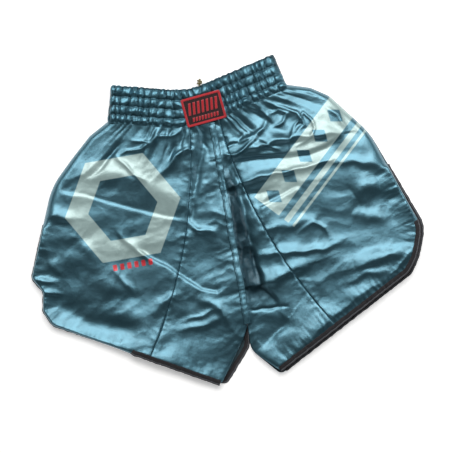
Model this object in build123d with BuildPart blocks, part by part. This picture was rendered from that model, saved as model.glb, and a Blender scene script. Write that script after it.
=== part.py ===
from build123d import *
import math
import os

# Boxing shorts in the Muay Thai cut, lying flat on their back with the front up.
# X runs along the waistband, Y from the hems up to the waist, Z is up.
# Sides are named as the wearer's: the wearer's right leg lies at negative X.
# All sizes are in millimetres. Drawn from the crotch level and the outline's middle,
# then moved so that the origin is the bottom centre of the shorts.

os.makedirs("parts", exist_ok=True)

# ---------------------------------------------------------------- overall sizes
rise = 391.0                # crotch level to the waistband's lowest top edge
half_span = 322.0           # middle of the outline to the widest point of a leg
leg_drop = 88.0             # crotch level down to the inner hem corner
waist_right = 125.0         # waistband bend to its end at the wearer's right
waist_left = 153.0          # waistband bend to its end at the wearer's left
waist_bend_x = -19.0        # where the relaxed waistband sags
right_tilt = 14.4           # degrees, the right half rises from the bend
left_tilt = 13.2            # degrees, the left half rises from the bend
bend_radius = 110.0
band_height = 60.0
rows = 4                    # elastic rows in the waistband
centre_x = 12.0             # centre front and back seams, and the crotch

# ---------------------------------------------------------------- layers
ply = 0.8                   # gathered satin ply of the waistband
elastic_thick = 1.2
row_stitch = 3.0            # stitched strip between two elastic rows
cord_diameter = 3.5
channel_clearance = 0.1     # round the cord inside its channel
waist_clearance = 1.0       # above and below the cord inside the waist
panel = 1.2                 # leg panel cloth
bind_wrap = 0.5             # binding on each face of the panel edge
bind_width = 8.0
bind_rim = 2.0              # binding beyond the panel edge
seam_width = 10.0
seam_thick = 0.8
back_show = 6.0             # back hem seen past the front hem, left leg
inner_show = 9.0            # back layer seen past the inner edge, right leg

cord_space = cord_diameter + 2 * channel_clearance
half_band = 2 * ply + elastic_thick + cord_space
waist_gap = cord_diameter + 2 * waist_clearance
height = 2 * half_band + waist_gap
row_pitch = band_height / rows
elastic_width = row_pitch - row_stitch
back_z = bind_wrap
front_z = height - half_band + bind_wrap
cord_depth = ply + elastic_thick + cord_space / 2
mid_z = height / 2

# ---------------------------------------------------------------- patch
patch_width = 66.0
patch_height = 47.0
patch_thick = 1.2
patch_border = 4.0
thread_thick = 0.6
patch_x = 2.5
patch_turn = 5.5            # degrees
bar_width = 4.4
bar_pitch = 7.4
bar_count = 7
bar_lean = 12.0             # degrees

# ---------------------------------------------------------------- drawcord
slot_length = 22.0          # stitched slot where the cord leaves the channel
slot_height = cord_diameter + 2.5
exit_right = 28.0           # waistband bend to the cord's right exit
exit_left = 76.0            # waistband bend to the cord's left exit
exit_run = 18.0             # length of cord passing down through the slot
turn_ease = 3.2             # extra room at the waistband's ends for the cord to turn
knot_diameter = 7.4
knot_length = 9.0

# ---------------------------------------------------------------- waistband lines
tilt_r = math.radians(right_tilt)
tilt_l = math.radians(left_tilt)
half_turn = (tilt_r + tilt_l) / 2
bend_lean = (tilt_l - tilt_r) / 2


def band_point(side, along, down):
    """A point on the waistband; side -1 is the wearer's right, along runs out from the bend."""
    tilt = tilt_r if side < 0 else tilt_l
    x = waist_bend_x + side * along * math.cos(tilt) + side * down * math.sin(tilt)
    y = rise + along * math.sin(tilt) - down * math.cos(tilt)
    return (x, y)


def bend_point(down):
    """The bend's corner on the line that lies the given distance below the top edge."""
    reach = down / math.cos(half_turn)
    return (waist_bend_x + reach * math.sin(bend_lean), rise - reach * math.cos(bend_lean))


def band_area(level, top, bottom, inset):
    """The band between two depths below its top edge, short of both ends by inset."""
    with BuildSketch(Plane.XY.offset(level)) as area:
        with BuildLine():
            FilletPolyline(
                band_point(-1, waist_right - inset, top),
                bend_point(top),
                band_point(1, waist_left - inset, top),
                radius=bend_radius + top,
            )
            FilletPolyline(
                band_point(-1, waist_right - inset, bottom),
                bend_point(bottom),
                band_point(1, waist_left - inset, bottom),
                radius=bend_radius + bottom,
            )
            Line(band_point(-1, waist_right - inset, top), band_point(-1, waist_right - inset, bottom))
            Line(band_point(1, waist_left - inset, top), band_point(1, waist_left - inset, bottom))
        make_face()
    return area.sketch


# ---------------------------------------------------------------- leg outlines
# Corners from inside the waistband round hip, vent and hem to the crotch, with radii.
tuck = 0.5 * band_height
right_front = [
    (*band_point(-1, waist_right - 4.0, tuck), 0.0),
    (-0.690 * half_span, 0.818 * rise, 60.0),
    (-0.820 * half_span, 0.711 * rise, 120.0),
    (-1.000 * half_span, 0.345 * rise, 22.0),
    (-0.941 * half_span, 0.158 * rise, 28.0),
    (-0.149 * half_span, -leg_drop, 10.0),
    (centre_x - 9.0, -0.200 * leg_drop, 20.0),
    (centre_x, 0.0, 0.0),
    (centre_x, rise - tuck, 0.0),
]
left_front = [
    (*band_point(1, waist_left - 4.0, tuck), 0.0),
    (0.646 * half_span, 0.890 * rise, 40.0),
    (0.814 * half_span, 0.706 * rise, 120.0),
    (half_span - back_show, 0.286 * rise, 40.0),
    (0.901 * half_span - back_show, 0.097 * rise + 0.5 * back_show, 25.0),
    (0.162 * half_span, -leg_drop + back_show, 10.0),
    (centre_x - 2.0, -0.450 * leg_drop, 30.0),
    (centre_x, 0.0, 0.0),
    (centre_x, rise - tuck, 0.0),
]
right_back = [
    (*band_point(-1, waist_right - 4.0, tuck), 0.0),
    (-0.690 * half_span, 0.818 * rise, 60.0),
    (-0.820 * half_span, 0.711 * rise, 120.0),
    (-1.000 * half_span, 0.345 * rise, 22.0),
    (-0.941 * half_span, 0.158 * rise, 28.0),
    (-0.149 * half_span + inner_show, -leg_drop, 10.0),
    (centre_x - 3.0, -0.380 * leg_drop, 30.0),
    (centre_x, 0.0, 0.0),
    (centre_x, rise - tuck, 0.0),
]
left_back = [
    (*band_point(1, waist_left - 4.0, tuck), 0.0),
    (0.646 * half_span, 0.890 * rise, 40.0),
    (0.814 * half_span, 0.706 * rise, 120.0),
    (half_span, 0.286 * rise, 40.0),
    (0.901 * half_span, 0.097 * rise, 25.0),
    (0.162 * half_span, -leg_drop, 10.0),
    (centre_x - 2.0, -0.450 * leg_drop, 30.0),
    (centre_x, 0.0, 0.0),
    (centre_x, rise - tuck, 0.0),
]
vent_y = 0.563 * rise       # top of each side vent
seam_hem_x = 0.490 * half_span
seam_mid_x = 0.180 * half_span
seam_mid_y = 0.450 * rise
seam_top_x = 22.0           # panel seam to the middle of the outline, at the waistband


def leg_area(outline, level, inset):
    """One leg layer inside its outline, drawn in by inset."""
    with BuildSketch(Plane.XY.offset(level)) as area:
        with BuildLine():
            FilletPolyline(
                [(x, y) for x, y, radius in outline],
                radius=[radius for x, y, radius in outline],
                close=True,
            )
        make_face()
        if inset > 0:
            offset(amount=-inset, kind=Kind.INTERSECTION)
    return area.sketch


def polygon_area(corners, level):
    """A plain polygon, used to mark off part of a leg."""
    with BuildSketch(Plane.XY.offset(level)) as area:
        with BuildLine():
            Polyline(*corners, close=True)
        make_face()
    return area.sketch


def inner_area(side):
    """The inner panel's area, between the centre seam and the curved, slanting panel seam."""
    with BuildSketch() as area:
        with BuildLine():
            ThreePointArc(
                (side * 1.42 * seam_hem_x, -1.3 * leg_drop),
                (side * seam_mid_x, seam_mid_y),
                (side * seam_top_x, rise - tuck),
            )
            Polyline(
                (side * seam_top_x, rise - tuck),
                (-side * 40.0, rise - tuck),
                (-side * 40.0, -1.3 * leg_drop),
                (side * 1.42 * seam_hem_x, -1.3 * leg_drop),
            )
        make_face()
    return area.sketch


def hem_corners(side, outline, to_crotch):
    """The area below the vent top that holds the bound edge of one leg layer."""
    far = 1.4 * side * half_span
    low = -2.0 * leg_drop
    if to_crotch:
        return [
            (far, vent_y), (far, low), (centre_x - 0.1, low), (centre_x - 0.1, -1.0),
            (centre_x + 40.0 * side, -1.0), (centre_x + 40.0 * side, vent_y),
        ]
    corner_x, corner_y, radius = outline[5]
    return [
        (far, vent_y), (far, low), (corner_x - 10.0 * side, low), (corner_x, corner_y),
        (corner_x + 12.0 * side, corner_y + 30.0), (40.0 * side, vent_y),
    ]


def wall_corners(side, upper):
    """The area that holds the side wall above the vent, or the wall of the inner leg."""
    if upper:
        far = 1.4 * side * half_span
        return [(far, vent_y), (far, 1.5 * rise), (60.0 * side, 1.5 * rise), (60.0 * side, vent_y)]
    near = centre_x - 10.0 * side
    return [(near, -1.0), (near, -0.8 * leg_drop), (55.0 * side, -0.8 * leg_drop), (55.0 * side, -1.0)]


def bound_edge(outline, level, side, to_crotch):
    """The binding strip's full block, before the panel's groove is cut."""
    extrude(leg_area(outline, level - bind_wrap, 0), amount=panel + 2 * bind_wrap)
    extrude(
        leg_area(outline, level - bind_wrap, bind_width),
        amount=panel + 2 * bind_wrap,
        mode=Mode.SUBTRACT,
    )
    extrude(
        polygon_area(hem_corners(side, outline, to_crotch), level - bind_wrap),
        amount=panel + 2 * bind_wrap,
        mode=Mode.INTERSECT,
    )


pieces = []


def add_panel(label, side, outline, inner, front, to_crotch):
    """One leg panel; a front panel also has the wall that reaches down to the back layer."""
    level = front_z if front else back_z
    base = back_z + panel
    with BuildPart() as rim:
        extrude(leg_area(outline, level, 0), amount=panel)
        extrude(leg_area(outline, level, bind_rim), amount=panel, mode=Mode.SUBTRACT)
        extrude(
            polygon_area(hem_corners(side, outline, to_crotch), level),
            amount=panel,
            mode=Mode.INTERSECT,
        )
    with BuildPart() as cloth:
        if front:
            extrude(leg_area(outline, base, 0), amount=level - base)
            extrude(leg_area(outline, base, panel), amount=level - base, mode=Mode.SUBTRACT)
            extrude(
                polygon_area(wall_corners(side, not inner), base),
                amount=level - base,
                mode=Mode.INTERSECT,
            )
            if inner and side < 0:
                extrude(leg_area(right_back, base, 0), amount=bind_wrap, mode=Mode.SUBTRACT)
        extrude(leg_area(outline, level, 0), amount=panel)
        extrude(inner_area(side), amount=height, mode=Mode.INTERSECT if inner else Mode.SUBTRACT)
        extrude(band_area(0, 0, band_height, 0), amount=height, mode=Mode.SUBTRACT)
        add(rim.part, mode=Mode.SUBTRACT)
    cloth.part.label = label
    pieces.append(cloth.part)


def add_binding(label, side, outline, level, to_crotch):
    """The bias binding folded round one hem, grooved for the panel edge."""
    with BuildPart() as binding:
        bound_edge(outline, level, side, to_crotch)
        extrude(leg_area(outline, level, bind_rim), amount=panel, mode=Mode.SUBTRACT)
    binding.part.label = label
    pieces.append(binding.part)


def band_loop(top, bottom, outer, inner, outer_ease=0.0, inner_ease=0.0):
    """A loop of cloth or elastic between two depths from the waistband's outer surface.

    The eases move its end walls further in, which leaves room for the cord to turn.
    """
    with BuildPart() as loop:
        extrude(band_area(outer, top, bottom, outer + outer_ease), amount=height - 2 * outer)
        extrude(
            band_area(inner, top, bottom, inner + inner_ease),
            amount=height - 2 * inner,
            mode=Mode.SUBTRACT,
        )
    return loop.part


# ---------------------------------------------------------------- leg panels
add_panel("front_outer_right", -1, right_front, False, True, False)
add_panel("front_inner_right", -1, right_front, True, True, False)
add_panel("front_outer_left", 1, left_front, False, True, False)
add_panel("front_inner_left", 1, left_front, True, True, False)
add_panel("back_outer_right", -1, right_back, False, False, True)
add_panel("back_inner_right", -1, right_back, True, False, True)
add_panel("back_outer_left", 1, left_back, False, False, False)
add_panel("back_inner_left", 1, left_back, True, False, False)

add_binding("hem_binding_front_right", -1, right_front, front_z, False)
add_binding("hem_binding_front_left", 1, left_front, front_z, False)
add_binding("hem_binding_back_right", -1, right_back, back_z, True)
add_binding("hem_binding_back_left", 1, left_back, back_z, False)

# ---------------------------------------------------------------- waistband
exits = [(-1, exit_right - exit_run / 2), (1, exit_left - exit_run / 2)]
with BuildPart() as waistband_casing:
    add(band_loop(0, band_height, 0, ply))
    add(band_loop(0, band_height, half_band - ply, half_band, turn_ease, turn_ease))
    add(band_loop(0, ply, 0, half_band, 0.0, turn_ease))
    add(band_loop(band_height - ply, band_height, 0, half_band, 0.0, turn_ease))
    for side, along in exits:
        slot_x, slot_y = band_point(side, along, 1.5 * row_pitch)
        lean = side * (tilt_r if side < 0 else tilt_l)
        slot_plane = Plane(
            origin=(slot_x, slot_y, height - half_band),
            x_dir=(math.cos(lean), math.sin(lean), 0),
            z_dir=(0, 0, 1),
        )
        with BuildSketch(slot_plane):
            SlotOverall(slot_length, slot_height)
        extrude(amount=ply, mode=Mode.SUBTRACT)
waistband_casing.part.label = "waistband_casing"
pieces.append(waistband_casing.part)

for row in range(rows):
    row_top = row_pitch * (row + 0.5) - elastic_width / 2
    elastic = band_loop(row_top, row_top + elastic_width, ply, ply + elastic_thick)
    elastic.label = f"elastic_row_{row + 1}"
    pieces.append(elastic)

# ---------------------------------------------------------------- centre seams
with BuildPart() as centre_front_seam:
    with BuildSketch(Plane.XY.offset(front_z + panel)):
        with BuildLine():
            Polyline(
                (centre_x - seam_width / 2, 4.0), (centre_x + seam_width / 2, 4.0),
                (centre_x + seam_width / 2, rise - tuck), (centre_x - seam_width / 2, rise - tuck),
                close=True,
            )
        make_face()
    extrude(amount=seam_thick)
    extrude(band_area(0, 0, band_height, 0), amount=height, mode=Mode.SUBTRACT)
centre_front_seam.part.label = "centre_front_seam"
pieces.append(centre_front_seam.part)

with BuildPart() as centre_back_seam:
    with BuildSketch(Plane.XY.offset(back_z + panel)):
        with BuildLine():
            Polyline(
                (centre_x - seam_width / 2, 4.0), (centre_x + seam_width / 2, 4.0),
                (centre_x + seam_width / 2, rise - tuck), (centre_x - seam_width / 2, rise - tuck),
                close=True,
            )
        make_face()
    extrude(amount=seam_thick)
    extrude(band_area(0, 0, band_height, 0), amount=height, mode=Mode.SUBTRACT)
centre_back_seam.part.label = "centre_back_seam"
pieces.append(centre_back_seam.part)

# ---------------------------------------------------------------- patch
patch_along = (patch_x - waist_bend_x) / math.cos(tilt_l)
patch_y = band_point(1, patch_along, 0)[1] - band_height / math.cos(tilt_l) + patch_height / 2 + 2.0
turn = math.radians(patch_turn)


def patch_plane(level):
    return Plane(
        origin=(patch_x, patch_y, level),
        x_dir=(math.cos(turn), math.sin(turn), 0),
        z_dir=(0, 0, 1),
    )


with BuildPart() as waistband_patch:
    with BuildSketch(patch_plane(height)):
        Rectangle(patch_width, patch_height)
    extrude(amount=patch_thick)
waistband_patch.part.label = "waistband_patch"
pieces.append(waistband_patch.part)

with BuildPart() as patch_edge:
    with BuildSketch(patch_plane(height + patch_thick)):
        Rectangle(patch_width, patch_height)
        Rectangle(patch_width - 2 * patch_border, patch_height - 2 * patch_border, mode=Mode.SUBTRACT)
    extrude(amount=thread_thick)
patch_edge.part.label = "patch_border"
pieces.append(patch_edge.part)

with BuildPart() as patch_bars:
    with BuildSketch(patch_plane(height + patch_thick)):
        with Locations((0, 5.5)):
            with GridLocations(bar_pitch, 1, bar_count, 1):
                Rectangle(bar_width, 17.0, rotation=-bar_lean)
        with Locations((0, -12.0)):
            Rectangle(bar_count * bar_pitch - 6.0, 5.0)
    extrude(amount=thread_thick)
patch_bars.part.label = "patch_motif"
pieces.append(patch_bars.part)


# ---------------------------------------------------------------- drawcord
def tube(label, points, radii):
    """Round cord along straight runs joined by tangent arcs."""
    with BuildPart() as cord:
        with BuildLine() as path:
            FilletPolyline(points, radius=radii)
        with BuildSketch(Plane(origin=path.line @ 0, z_dir=path.line % 0)):
            Circle(cord_diameter / 2)
        sweep(transition=Transition.ROUND)
    cord.part.label = label
    length = path.wire().length
    full = length * math.pi * cord_diameter ** 2 / 4
    print(label, "length", round(length, 1), "volume ratio", round(cord.part.volume / full, 4))
    return cord.part


def bend_radii(points):
    """The largest radius that each corner's two runs allow."""
    radii = []
    for before, corner, after in zip(points, points[1:], points[2:]):
        run_in = Vector(*corner) - Vector(*before)
        run_out = Vector(*after) - Vector(*corner)
        half = math.radians(run_in.get_angle(run_out)) / 2
        radii.append(0.45 * min(run_in.length, run_out.length) / math.tan(half))
    return radii


front_cord_z = height - cord_depth
cord_row = 1.5 * row_pitch
right_start = (*band_point(-1, exit_right, cord_row), front_cord_z)
left_start = (*band_point(1, exit_left, cord_row), front_cord_z)
end_right = waist_right - cord_depth
end_left = waist_left - cord_depth
turn_radius = 0.49 * (height - 2 * cord_depth)
channel_route = [
    right_start,
    (*band_point(-1, end_right, cord_row), front_cord_z),
    (*band_point(-1, end_right, cord_row), cord_depth),
    (*bend_point(cord_row), cord_depth),
    (*band_point(1, end_left, cord_row), cord_depth),
    (*band_point(1, end_left, cord_row), front_cord_z),
    left_start,
]
channel_radii = [turn_radius, turn_radius, bend_radius + cord_row, turn_radius, turn_radius]
pieces.append(tube("drawcord_in_channel", channel_route, channel_radii))

right_x, right_y = band_point(-1, exit_right - exit_run, cord_row)
right_route = [
    right_start,
    (right_x, right_y, mid_z),
    (right_x + 19.5, right_y + 0.4, mid_z),
    (right_x + 33.5, right_y + 12.0, mid_z),
    (right_x + 37.0, right_y + 29.0, mid_z),
]
left_x, left_y = band_point(1, exit_left - exit_run, cord_row)
left_route = [
    left_start,
    (left_x, left_y, mid_z),
    (left_x - 18.0, left_y - 6.0, mid_z),
    (left_x - 30.5, left_y - 21.5, mid_z - 0.2),
    (left_x - 34.0, left_y - 41.0, mid_z - 0.5),
    (left_x - 29.5, left_y - 60.0, mid_z - 1.5),
    (left_x - 33.0, left_y - 79.5, mid_z - 2.2),
]
for label, route in [("right", right_route), ("left", left_route)]:
    radii = bend_radii(route)
    print("drawcord_tail_" + label, "radii", [round(radius, 1) for radius in radii])
    pieces.append(tube("drawcord_tail_" + label, route, radii))
    heading = Vector(*route[-1]) - Vector(*route[-2])
    with BuildPart() as knot:
        with BuildSketch(Plane(origin=route[-1], z_dir=heading.normalized())):
            Circle(knot_diameter / 2)
        extrude(amount=knot_length)
        fillet(knot.edges().filter_by(GeomType.CIRCLE), radius=0.3 * knot_diameter)
    knot.part.label = "drawcord_knot_" + label
    pieces.append(knot.part)

# ---------------------------------------------------------------- origin and files
cord_labels = ["drawcord_tail_right", "drawcord_tail_left", "drawcord_knot_right", "drawcord_knot_left"]
body = Compound(children=[piece for piece in pieces if piece.label not in cord_labels])
limits = body.bounding_box()
for piece in list(pieces):
    piece.parent = None
shift = Location(
    (-(limits.min.X + limits.max.X) / 2, -(limits.min.Y + limits.max.Y) / 2, -limits.min.Z)
)
print("size", limits.size, "origin moved by", shift.position)
for piece in pieces:
    placed = piece.moved(shift)
    placed.label = piece.label
    export_step(placed, "parts/" + placed.label + ".step")
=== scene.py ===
import bpy
import math
import numpy as np
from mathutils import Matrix, Vector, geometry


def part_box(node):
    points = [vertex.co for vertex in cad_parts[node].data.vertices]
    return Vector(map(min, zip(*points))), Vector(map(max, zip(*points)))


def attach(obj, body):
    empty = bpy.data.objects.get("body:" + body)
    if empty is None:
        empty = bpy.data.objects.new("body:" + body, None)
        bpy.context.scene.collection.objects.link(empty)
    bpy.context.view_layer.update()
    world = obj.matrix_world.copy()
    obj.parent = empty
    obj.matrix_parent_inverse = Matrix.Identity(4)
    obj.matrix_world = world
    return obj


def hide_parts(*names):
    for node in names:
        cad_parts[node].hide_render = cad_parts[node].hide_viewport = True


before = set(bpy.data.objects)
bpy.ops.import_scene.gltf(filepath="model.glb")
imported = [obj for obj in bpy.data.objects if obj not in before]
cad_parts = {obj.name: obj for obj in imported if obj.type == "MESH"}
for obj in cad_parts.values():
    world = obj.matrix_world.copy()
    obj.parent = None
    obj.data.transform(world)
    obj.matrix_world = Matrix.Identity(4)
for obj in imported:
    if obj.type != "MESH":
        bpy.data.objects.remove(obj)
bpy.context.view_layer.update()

# ---------- frame and sizes
# Lengths below are millimetres in the drawing frame of part.py; ROW moves them to the row frame.
RISE = 391.0
HALF_SPAN = 322.0
LEG_DROP = 88.0
WAIST_R = 125.0
WAIST_L = 153.0
BEND_X = -19.0
TILT_R = math.radians(14.4)
TILT_L = math.radians(13.2)
BEND_R = 110.0
BAND = 60.0
CENTRE_X = 12.0
BACK_SHOW = 6.0
INNER_SHOW = 9.0
VENT_Y = 0.563 * RISE
TUCK = 0.5 * BAND
ROW_PITCH = 15.0
ELASTIC_WIDTH = 12.0
CLOTH = 0.0005        # metres, a little thicker than real satin
CORD_DIAMETER = 0.0035
seam_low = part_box("centre_front_seam")[0]
ROW = np.array([seam_low[0] * 1000 - (CENTRE_X - 5.0), seam_low[1] * 1000 - 4.0])
BAND_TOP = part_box("waistband_casing")[1][2] * 1000           # front face of the flat waistband
patch_low, patch_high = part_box("waistband_patch")


def hashed(ix, iy, seed):
    h = (ix.astype(np.int64) * 374761393 + iy.astype(np.int64) * 668265263 + seed * 974634777) & 0xFFFFFFFF
    h = ((h ^ (h >> 13)) * 1274126177) & 0xFFFFFFFF
    h = (h ^ (h >> 16)) & 0xFFFFFFFF
    return h / 4294967295.0


def noise(x, y, seed=0):
    """Smooth gradient noise, about -1 to 1."""
    x, y = np.broadcast_arrays(np.asarray(x, float), np.asarray(y, float))
    ix, iy = np.floor(x), np.floor(y)
    fx, fy = x - ix, y - iy
    total = 0.0
    wx = fx ** 3 * (fx * (fx * 6 - 15) + 10)
    wy = fy ** 3 * (fy * (fy * 6 - 15) + 10)
    for dx in (0, 1):
        for dy in (0, 1):
            angle = hashed(ix + dx, iy + dy, seed) * 2 * math.pi
            dot = np.cos(angle) * (fx - dx) + np.sin(angle) * (fy - dy)
            total = total + dot * (wx if dx else 1 - wx) * (wy if dy else 1 - wy)
    return total * 1.5


def ridged(x, y, seed):
    return 1.0 - 2.0 * np.abs(noise(x, y, seed))


def smooth(edge0, edge1, x):
    t = np.clip((x - edge0) / (edge1 - edge0), 0.0, 1.0)
    return t * t * (3 - 2 * t)


# ---------- waistband lines
def band_dirs(side):
    tilt = TILT_R if side < 0 else TILT_L
    c, s = math.cos(tilt), math.sin(tilt)
    return np.array([side * c, s]), np.array([side * s, -c])


HALF_TURN = (TILT_R + TILT_L) / 2
TANGENT = BEND_R * math.tan(HALF_TURN)
ARC = BEND_R * 2 * HALF_TURN
S_RIGHT = -(WAIST_R - TANGENT) - ARC / 2
S_LEFT = (WAIST_L - TANGENT) + ARC / 2
bend = np.array([BEND_X, RISE])
arc_centre = bend + np.array([math.sin((TILT_L - TILT_R) / 2) * -1, 1.0]) * (BEND_R / math.cos(HALF_TURN))
down = band_dirs(-1)[1] + band_dirs(1)[1]
MID_TURN = math.atan2(down[0], -down[1])


def band_xy(s, d):
    """Point on the waistband: s along it from the bend's middle, d below its top edge."""
    s, d = np.broadcast_arrays(np.asarray(s, float), np.asarray(d, float))
    turn = np.clip(s / BEND_R, -HALF_TURN, HALF_TURN) + MID_TURN
    nx, ny = np.sin(turn), -np.cos(turn)
    cx = arc_centre[0] + nx * (BEND_R + d)
    cy = arc_centre[1] + ny * (BEND_R + d)
    over = s - np.clip(s, -ARC / 2, ARC / 2)
    return np.stack([cx - ny * over, cy + nx * over], -1)


def band_sd(points):
    """Inverse of band_xy for points near and below the waistband."""
    v = points - arc_centre
    angle = np.arctan2(v[:, 0], -v[:, 1]) - MID_TURN
    s = angle * BEND_R
    d = np.hypot(v[:, 0], v[:, 1]) - BEND_R
    for sign in (-1, 1):
        turn = sign * HALF_TURN + MID_TURN
        normal = np.array([math.sin(turn), -math.cos(turn)])
        along = np.array([-normal[1], normal[0]])
        part = (angle * sign) > HALF_TURN
        s = np.where(part, sign * ARC / 2 + v @ along, s)
        d = np.where(part, v @ normal - BEND_R, d)
    return s, d


# ---------- leg outlines
def band_corner(side, along, down):
    out, low = band_dirs(side)
    return tuple(bend + out * along + low * down)


def outline(kind, side):
    if side < 0:
        start = [(*band_corner(-1, WAIST_R - 1.0, 55.0), 0.0),
                 (-0.585 * HALF_SPAN, 0.893 * RISE, 30.0),
                 (-0.690 * HALF_SPAN, 0.815 * RISE, 60.0),
                 (-0.820 * HALF_SPAN, 0.711 * RISE, 120.0),
                 (-1.000 * HALF_SPAN, 0.350 * RISE, 12.0),
                 (-0.953 * HALF_SPAN, 0.284 * RISE, 14.0),
                 (-0.972 * HALF_SPAN, 0.205 * RISE, 16.0),
                 (-0.936 * HALF_SPAN, 0.140 * RISE, 18.0)]
        if kind == "front":
            inner = [(-0.149 * HALF_SPAN, -LEG_DROP, 10.0), (CENTRE_X - 9.0, -0.2 * LEG_DROP, 20.0)]
        else:
            inner = [(-0.149 * HALF_SPAN + INNER_SHOW, -LEG_DROP, 10.0),
                     (CENTRE_X - 3.0, -0.38 * LEG_DROP, 30.0)]
    else:
        show = BACK_SHOW if kind == "front" else 0.0
        start = [(*band_corner(1, WAIST_L - 1.0, 50.0), 0.0),
                 (0.560 * HALF_SPAN, 0.932 * RISE, 30.0),
                 (0.646 * HALF_SPAN, 0.885 * RISE, 40.0),
                 (0.814 * HALF_SPAN, 0.706 * RISE, 120.0),
                 (HALF_SPAN - show, 0.300 * RISE, 34.0),
                 (0.994 * HALF_SPAN - show, 0.250 * RISE, 30.0),
                 (0.952 * HALF_SPAN - show, 0.160 * RISE, 30.0),
                 (0.901 * HALF_SPAN - show, 0.097 * RISE + 0.5 * show, 25.0)]
        inner = [(0.162 * HALF_SPAN, -LEG_DROP + show, 10.0), (CENTRE_X - 2.0, -0.45 * LEG_DROP, 30.0)]
    return start + inner + [(CENTRE_X, 0.0, 0.0), (CENTRE_X, RISE - TUCK, 0.0)]


def rounded(corners, step=2.0):
    """Dense points along a closed rounded outline, and the corner that each follows."""
    points, tags = [], []
    n = len(corners)
    joints = []
    for i, (x, y, r) in enumerate(corners):
        here = np.array([x, y])
        before = np.array(corners[i - 1][:2]) - here
        after = np.array(corners[(i + 1) % n][:2]) - here
        a, b = before / np.linalg.norm(before), after / np.linalg.norm(after)
        if r <= 0:
            joints.append((here, here, None))
            continue
        half = math.acos(max(-1, min(1, float(a @ b)))) / 2
        reach = r / math.tan(half)
        centre = here + (a + b) / np.linalg.norm(a + b) * r / math.sin(half)
        joints.append((here + a * reach, here + b * reach, centre))
    for i, (p, q, centre) in enumerate(joints):
        if centre is not None:
            a0 = math.atan2(*(p - centre)[::-1])
            a1 = math.atan2(*(q - centre)[::-1])
            turn = (a1 - a0 + math.pi) % (2 * math.pi) - math.pi
            radius = np.linalg.norm(p - centre)
            steps = max(2, int(abs(turn) * radius / step))
            for k in range(steps):
                t = a0 + turn * k / steps
                points.append(centre + radius * np.array([math.cos(t), math.sin(t)]))
                tags.append(i)
        end = joints[(i + 1) % n][0]
        steps = max(1, int(np.linalg.norm(end - q) / step))
        for k in range(steps):
            points.append(q + (end - q) * k / steps)
            tags.append(i + 0.5)
    return np.array(points), np.array(tags)


UNDER = 57.5          # the panels run this far below the waistband's top edge


def leg_polygon(kind, side, step=2.0):
    """The visible leg layer: its outline, tucked under the waistband's lower edge."""
    points, tags = rounded(outline(kind, side), step)
    keep = (tags < 10) & ((points[:, 1] < RISE - 62.0) | (np.abs(points[:, 0] - CENTRE_X) > 60.0))
    chain, chain_tags = points[keep], tags[keep]
    s0 = band_sd(chain[:1])[0][0]
    end = band_xy(band_sd(np.array([[CENTRE_X, RISE - 58.0]]))[0][0], UNDER)[None]
    end[0, 0] = CENTRE_X
    s1 = band_sd(end)[0][0]
    count = int(abs(s1 - s0) / step)
    sweep = np.linspace(s1, s0, count + 1)[1:-1]
    top = band_xy(sweep, UNDER)
    poly = np.concatenate([chain, end, top])
    poly_tags = np.concatenate([chain_tags, [10.5], np.full(len(top), 12.0)])
    return poly, poly_tags


def circle_through(a, b, c, step=2.0):
    """Dense points on the arc from a through b to c."""
    a, b, c = (np.array(p, float) for p in (a, b, c))
    m = np.array([b - a, c - a]) * 2
    centre = np.linalg.solve(m, [b @ b - a @ a, c @ c - a @ a])
    r = np.linalg.norm(a - centre)
    t0 = math.atan2(*(a - centre)[::-1])
    t1 = math.atan2(*(c - centre)[::-1])
    turn = (t1 - t0 + math.pi) % (2 * math.pi) - math.pi
    n = int(abs(turn) * r / step)
    t = t0 + turn * np.linspace(0, 1, n + 1)
    return centre + r * np.stack([np.cos(t), np.sin(t)], -1)


def panel_seam(side):
    return circle_through(
        (side * 1.42 * 0.49 * HALF_SPAN, -1.3 * LEG_DROP),
        (side * 0.18 * HALF_SPAN, 0.45 * RISE),
        (side * 22.0, RISE - TUCK),
    )


# ---------- distances
def to_line(points, line, closed=False):
    """Distance to a polyline, signed distance (left is positive) and length along it."""
    line = np.asarray(line, float)
    a = line if closed else line[:-1]
    b = np.roll(line, -1, 0) if closed else line[1:]
    ab = b - a
    length = np.hypot(ab[:, 0], ab[:, 1]) + 1e-9
    start = np.concatenate([[0], np.cumsum(length)[:-1]])
    best = np.full(len(points), 1e9)
    sign = np.ones(len(points))
    along = np.zeros(len(points))
    for k in range(0, len(points), 3000):
        p = points[k:k + 3000, None, :]
        t = np.clip(((p - a) * ab).sum(-1) / length ** 2, 0, 1)
        off = p - (a + ab * t[..., None])
        dist = np.hypot(off[..., 0], off[..., 1])
        i = dist.argmin(1)
        rows = np.arange(len(i))
        best[k:k + 3000] = dist[rows, i]
        cross = ab[i, 0] * off[rows, i, 1] - ab[i, 1] * off[rows, i, 0]
        sign[k:k + 3000] = np.where(cross >= 0, 1.0, -1.0)
        along[k:k + 3000] = start[i] + t[rows, i] * length[i]
    return best, best * sign, along, float(length.sum())


def inside(points, poly):
    x, y = points[:, 0], points[:, 1]
    result = np.zeros(len(points), bool)
    n = len(poly)
    for i in range(n):
        x0, y0 = poly[i - 1]
        x1, y1 = poly[i]
        if y0 == y1:
            continue
        cross = (y0 > y) != (y1 > y)
        result ^= cross & (x < (x1 - x0) * (y - y0) / (y1 - y0) + x0)
    return result


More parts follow.
